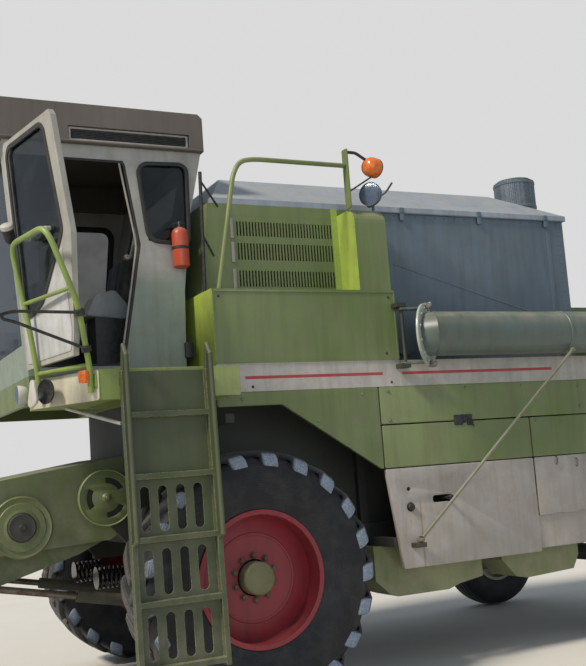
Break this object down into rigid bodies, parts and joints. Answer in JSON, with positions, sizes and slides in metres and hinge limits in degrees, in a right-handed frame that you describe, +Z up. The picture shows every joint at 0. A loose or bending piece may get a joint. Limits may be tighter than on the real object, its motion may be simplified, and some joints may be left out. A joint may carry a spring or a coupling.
{
  "type": "combine harvester",
  "caption": "Self-propelled grain harvester with glazed cab, lifting feeder house, grain tank, swinging unloading tube and rear steering, standing without its cutting table",
  "frame": {"origin": "on the ground under the middle of the machine's length and width", "axes": "+X to the rear along the machine, +Y to its right side, +Z up"},
  "size_m": [7.295, 3.3597, 3.85],
  "materials": {
    "green_paint": "machinery green gloss paint, faded and dusty",
    "cream_paint": "off-white gloss paint, faded and dirty",
    "chassis_paint": "dark green chassis paint, oily",
    "black_paint": "black paint, dusty",
    "red_paint": "red gloss wheel paint, scratched",
    "orange_paint": "orange-red gloss paint",
    "bare_steel": "worn bare steel",
    "cast": "cast and machined iron, oily",
    "tyre_rubber": "vulcanised rubber, dusty",
    "window_glass": "toughened safety glass",
    "seat_cover": "woven seat cover",
    "black_plastic": "moulded black plastic",
    "amber_lens": "orange lens",
    "red_lens": "red lens"
  },
  "bodies": {
    "machine": {"threshing_body": "green_paint", "main_frame": "green_paint", "front_axle": "chassis_paint", "rear_axle": "chassis_paint", "auger_troughs": "green_paint", "side_panels": "green_paint", "side_shields": "cream_paint", "rear_shields": "cream_paint", "ledges": "cream_paint", "straw_hood": "green_paint", "straw_walkers": "bare_steel", "engine_housing": "green_paint", "louvres": "green_paint", "engine": "cast", "grain_tank": "green_paint", "tank_cover": "green_paint", "intake_screen": "bare_steel", "service_rail": "green_paint", "beacon": "amber_lens", "work_lamp": "black_plastic", "cab_base": "green_paint", "cab_left": "cream_paint", "cab_right": "cream_paint", "cab_front": "cream_paint", "cab_rear": "cream_paint", "cab_roof": "cream_paint", "cab_glass": "window_glass", "seat": "seat_cover", "steering_column": "black_plastic", "deck": "green_paint", "ladder": "green_paint", "guard_rail": "green_paint", "mirrors": "black_plastic", "extinguisher": "orange_paint", "float_springs": "black_paint", "hitch": "chassis_paint", "road_lamps": "red_lens", "tube_hinge": "chassis_paint"},
    "feeder": {"feeder_housing": "green_paint", "feeder_chain": "bare_steel", "feeder_drive": "black_paint"},
    "lift_barrel_left": {"lift_barrel_left": "chassis_paint"},
    "lift_barrel_right": {"lift_barrel_right": "chassis_paint"},
    "lift_rod_left": {"lift_rod_left": "bare_steel"},
    "lift_rod_right": {"lift_rod_right": "bare_steel"},
    "front_wheel_left": {"front_tyre_left": "tyre_rubber", "front_rim_left": "red_paint"},
    "front_wheel_right": {"front_tyre_right": "tyre_rubber", "front_rim_right": "red_paint"},
    "knuckle_left": {"knuckle_left": "chassis_paint"},
    "knuckle_right": {"knuckle_right": "chassis_paint"},
    "tie_rod": {"tie_rod": "chassis_paint"},
    "rear_wheel_left": {"rear_tyre_left": "tyre_rubber", "rear_rim_left": "cream_paint"},
    "rear_wheel_right": {"rear_tyre_right": "tyre_rubber", "rear_rim_right": "cream_paint"},
    "door": {"cab_door": "cream_paint", "door_glass": "window_glass"},
    "unloader": {"unload_tube": "green_paint", "stay_bar": "chassis_paint"}
  },
  "joints": [
    {"name": "feeder_lift", "type": "hinge", "parent": "machine", "child": "feeder", "pos_m": [-2.1775, 0, 1.33], "axis": [0, 1, 0], "range_deg": [-15, 2]},
    {"name": "lift_swing_left", "type": "hinge", "parent": "machine", "child": "lift_barrel_left", "pos_m": [-1.6175, -0.56, 0.585], "axis": [0, 1, 0], "range_deg": [-7.95, 1.06]},
    {"name": "lift_stroke_left", "type": "slide", "parent": "lift_barrel_left", "child": "lift_rod_left", "axis": [-0.9803, 0, 0.1974], "range_m": [-0.17219, 0.02296]},
    {"name": "lift_swing_right", "type": "hinge", "parent": "machine", "child": "lift_barrel_right", "pos_m": [-1.6175, 0.56, 0.585], "axis": [0, 1, 0], "range_deg": [-7.95, 1.06]},
    {"name": "lift_stroke_right", "type": "slide", "parent": "lift_barrel_right", "child": "lift_rod_right", "axis": [-0.9803, 0, 0.1974], "range_m": [-0.17219, 0.02296]},
    {"name": "front_wheel_left", "type": "hinge", "parent": "machine", "child": "front_wheel_left", "pos_m": [-1.3975, -1.1365, 0.78], "axis": [0, 1, 0], "continuous": true},
    {"name": "front_wheel_right", "type": "hinge", "parent": "machine", "child": "front_wheel_right", "pos_m": [-1.3975, 1.1365, 0.78], "axis": [0, 1, 0], "continuous": true},
    {"name": "steer_left", "type": "hinge", "parent": "machine", "child": "knuckle_left", "pos_m": [2.0025, -0.78, 0.55], "axis": [0, 0, 1], "range_deg": [-35, 35]},
    {"name": "steer_right", "type": "hinge", "parent": "machine", "child": "knuckle_right", "pos_m": [2.0025, 0.78, 0.55], "axis": [0, 0, 1], "range_deg": [-35, 35]},
    {"name": "tie_rod_turn", "type": "hinge", "parent": "knuckle_left", "child": "tie_rod", "pos_m": [1.8125, -0.78, 0.525], "axis": [0, 0, 1], "range_deg": [-35, 35]},
    {"name": "rear_wheel_left", "type": "hinge", "parent": "knuckle_left", "child": "rear_wheel_left", "pos_m": [2.0025, -0.995, 0.46], "axis": [0, 1, 0], "continuous": true},
    {"name": "rear_wheel_right", "type": "hinge", "parent": "knuckle_right", "child": "rear_wheel_right", "pos_m": [2.0025, 0.995, 0.46], "axis": [0, 1, 0], "continuous": true},
    {"name": "cab_door", "type": "hinge", "parent": "machine", "child": "door", "pos_m": [-2.6475, -0.872, 2.1], "axis": [-0.0736, 0, 0.9973], "range_deg": [0, 78]},
    {"name": "unloader_swing", "type": "hinge", "parent": "machine", "child": "unloader", "pos_m": [-0.1625, -1.2, 2.27], "axis": [0, 0, 1], "range_deg": [-95, 0]}
  ],
  "couplings": [
    {"joint": "lift_swing_left", "follows": "feeder_lift", "ratio": 0.53},
    {"joint": "lift_stroke_left", "follows": "feeder_lift", "m_per_rad": 0.6577},
    {"joint": "lift_swing_right", "follows": "feeder_lift", "ratio": 0.53},
    {"joint": "lift_stroke_right", "follows": "feeder_lift", "m_per_rad": 0.6577},
    {"joint": "steer_right", "follows": "steer_left", "ratio": 1},
    {"joint": "tie_rod_turn", "follows": "steer_left", "ratio": -1}
  ]
}
